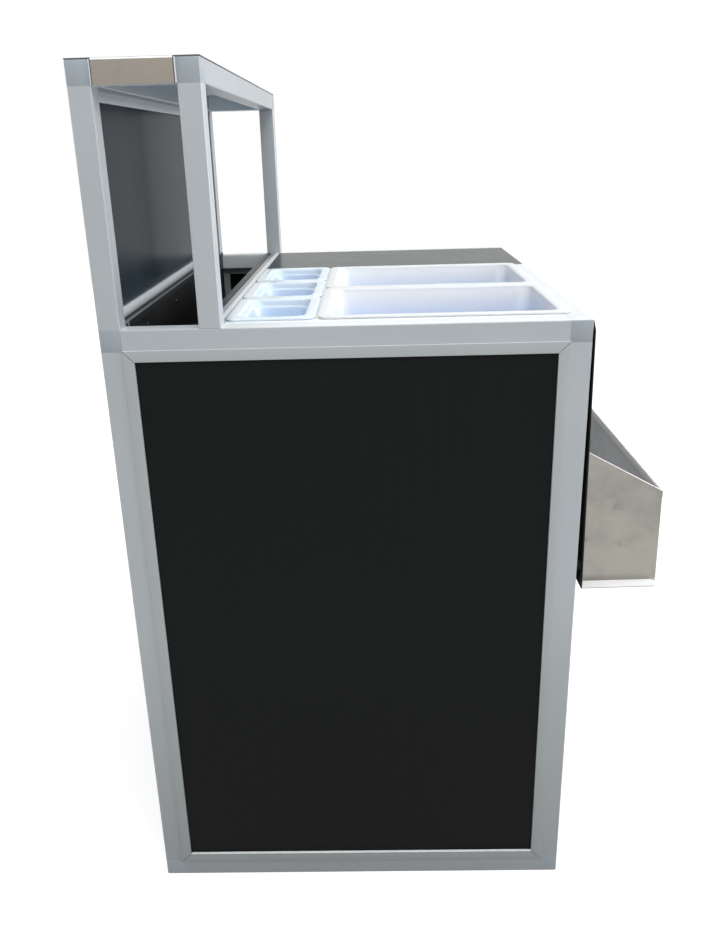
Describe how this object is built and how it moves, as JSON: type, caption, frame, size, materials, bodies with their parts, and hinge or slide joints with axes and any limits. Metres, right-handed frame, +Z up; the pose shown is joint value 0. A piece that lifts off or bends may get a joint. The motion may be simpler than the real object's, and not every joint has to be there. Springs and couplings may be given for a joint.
{
  "type": "portable bar station",
  "caption": "Free-standing bar station: tube frame with black panels, hood shelf, bottle well, lift-out pans in the worktop and a hung-on speed rail.",
  "frame": {"origin": "middle of the whole station's footprint, on the floor", "axes": "+X to the left end as the bartender sees it, +Y to the working side, +Z up"},
  "size_m": [0.803, 0.7132, 1.1512],
  "materials": {
    "tube_aluminium": "satin anodised square tube",
    "trim_aluminium": "satin anodised trim",
    "connector_plastic": "moulded grey plastic",
    "panel_black": "satin black panel",
    "hood_panel_gloss": "gloss black panel",
    "black_rubber": "matt rubber",
    "shelf_black": "black faced board",
    "sheet_black": "black powder coat",
    "screw_black": "blackened screw",
    "worktop_stainless": "brushed, lightly smudged",
    "hood_stainless": "brushed, warm tone",
    "trough_stainless": "brushed, smudged",
    "fastener_steel": "plain bright steel",
    "garnish_plastic": "frosted translucent plastic",
    "ice_bin_plastic": "frosted white translucent plastic"
  },
  "bodies": {
    "station": {"front_post_lower_left": "tube_aluminium", "front_post_lower_right": "tube_aluminium", "front_post_upper_left": "tube_aluminium", "front_post_upper_right": "tube_aluminium", "rear_post_left": "tube_aluminium", "rear_post_right": "tube_aluminium", "hood_rear_post_left": "tube_aluminium", "hood_rear_post_right": "tube_aluminium", "end_top_rail_left": "tube_aluminium", "end_top_rail_right": "tube_aluminium", "end_bottom_rail_left": "tube_aluminium", "end_bottom_rail_right": "tube_aluminium", "front_mid_rail": "tube_aluminium", "front_bottom_rail": "tube_aluminium", "rear_top_rail": "tube_aluminium", "rear_bottom_rail": "tube_aluminium", "well_rail": "tube_aluminium", "cross_rail": "tube_aluminium", "hood_front_rail": "tube_aluminium", "hood_rear_rail": "tube_aluminium", "hood_end_rail_left": "tube_aluminium", "hood_end_rail_right": "tube_aluminium", "hood_corner_connectors": "connector_plastic", "front_joint_connectors": "connector_plastic", "rear_corner_connectors": "connector_plastic", "base_corner_connectors": "connector_plastic", "tube_end_plugs": "connector_plastic", "end_panel_left": "panel_black", "end_panel_right": "panel_black", "end_panel_trim_left": "trim_aluminium", "end_panel_trim_right": "trim_aluminium", "front_panel": "panel_black", "front_panel_trim": "trim_aluminium", "hood_panel": "hood_panel_gloss", "hood_panel_track": "trim_aluminium", "hood_panel_gasket": "black_rubber", "base_shelf": "shelf_black", "shelf_screws": "screw_black", "bottle_well_tray": "sheet_black", "well_front_cap": "trim_aluminium", "well_edge_strip": "trim_aluminium", "well_screws": "screw_black", "worktop_plate": "worktop_stainless", "pan_end_bars": "trim_aluminium", "pan_divider_long": "trim_aluminium", "pan_dividers_short": "trim_aluminium", "divider_brackets": "trim_aluminium", "hood_top_sheet": "hood_stainless", "hanging_studs": "fastener_steel"},
    "speed_rail": {"apron": "sheet_black", "speed_rail_trough": "trough_stainless", "speed_rail_end_plates": "trough_stainless", "speed_rail_rivets": "fastener_steel", "apron_buffers": "black_rubber"},
    "garnish_pan_left": {"garnish_pan_left": "garnish_plastic"},
    "garnish_pan_middle": {"garnish_pan_middle": "garnish_plastic"},
    "garnish_pan_right": {"garnish_pan_right": "garnish_plastic"},
    "ice_bin_left": {"ice_bin_left": "ice_bin_plastic"},
    "ice_bin_right": {"ice_bin_right": "ice_bin_plastic"}
  },
  "joints": [
    {"name": "speed_rail_lift", "type": "slide", "parent": "station", "child": "speed_rail", "axis": [0, 0, 1], "range_m": [0, 0.012]},
    {"name": "garnish_pan_left_lift", "type": "slide", "parent": "station", "child": "garnish_pan_left", "axis": [0, 0, 1], "range_m": [0, 0.115]},
    {"name": "garnish_pan_middle_lift", "type": "slide", "parent": "station", "child": "garnish_pan_middle", "axis": [0, 0, 1], "range_m": [0, 0.115]},
    {"name": "garnish_pan_right_lift", "type": "slide", "parent": "station", "child": "garnish_pan_right", "axis": [0, 0, 1], "range_m": [0, 0.115]},
    {"name": "ice_bin_left_lift", "type": "slide", "parent": "station", "child": "ice_bin_left", "axis": [0, 0, 1], "range_m": [0, 0.165]},
    {"name": "ice_bin_right_lift", "type": "slide", "parent": "station", "child": "ice_bin_right", "axis": [0, 0, 1], "range_m": [0, 0.165]}
  ]
}
